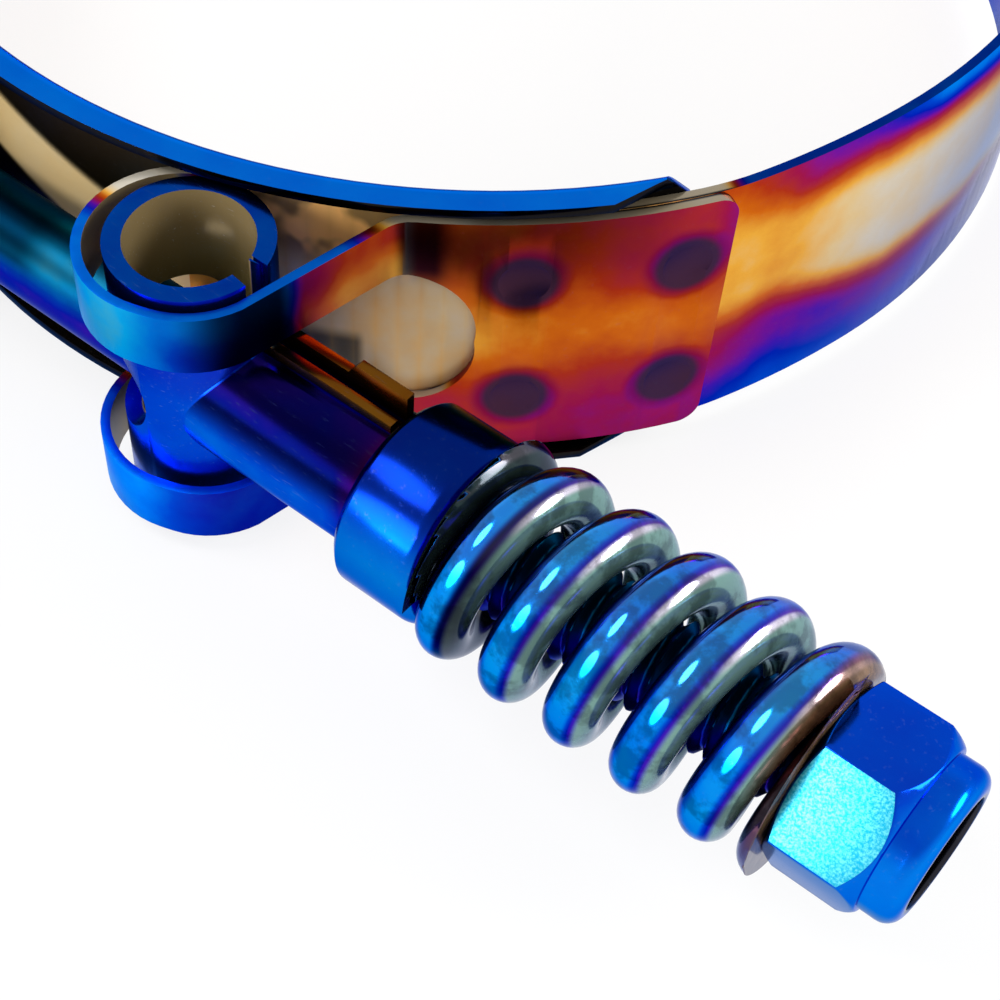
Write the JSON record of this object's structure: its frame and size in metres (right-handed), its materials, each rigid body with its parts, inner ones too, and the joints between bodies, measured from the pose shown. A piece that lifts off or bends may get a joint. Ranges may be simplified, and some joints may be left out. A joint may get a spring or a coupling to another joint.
{
  "type": "t bolt clamp",
  "caption": "Heat-tinted steel hose clamp: a flat band with looped ends, drawn together by a T bolt, a trunnion, a stiff spring and a lock nut.",
  "frame": {"origin": "centre of the clamp's bore, halfway up the band", "axes": "+Z along the bore's axis; the bolt runs along X on the -Y side with its nut at +X"},
  "size_m": [0.106, 0.0911, 0.0218],
  "materials": {
    "band_steel": "polished steel, heat tinted from gold to purple and blue",
    "liner_steel": "polished steel, heat tinted blue at its flanges and straw on its web",
    "bolt_steel": "rolled steel, heat tinted blue and purple",
    "trunnion_steel": "pressed steel, heat tinted blue",
    "cap_steel": "pressed steel, heat tinted blue",
    "spring_steel": "drawn steel wire, heat tinted blue",
    "nut_steel": "forged steel, heat tinted blue",
    "nylon": "dark nylon"
  },
  "bodies": {
    "band": {"band": "band_steel", "liner": "liner_steel"},
    "t_bolt": {"t_bolt": "bolt_steel"},
    "trunnion": {"trunnion_sleeve": "trunnion_steel", "spring_cap": "cap_steel"},
    "spring": {"spring": "spring_steel"},
    "nut": {"lock_nut": "nut_steel", "nut_lock_ring": "nylon"}
  },
  "joints": [
    {"name": "head_pivot", "type": "hinge", "parent": "band", "child": "t_bolt", "pos_m": [-0.01505, -0.04396, 0], "axis": [0, 0, 1], "range_deg": [-0.5, 0.5]},
    {"name": "trunnion_slide", "type": "slide", "parent": "t_bolt", "child": "trunnion", "axis": [1, 0, 0], "range_m": [-0.0003, 0]},
    {"name": "nut_travel", "type": "slide", "parent": "t_bolt", "child": "spring", "axis": [-1, 0, 0], "range_m": [0, 0.0055], "deforming": ["spring"]},
    {"name": "nut_turn", "type": "hinge", "parent": "spring", "child": "nut", "pos_m": [0.05795, -0.04396, 0], "axis": [-1, 0, 0], "range_deg": [0, 1980]}
  ],
  "couplings": [
    {"joint": "nut_turn", "follows": "nut_travel", "rad_per_m": 6283.2}
  ]
}
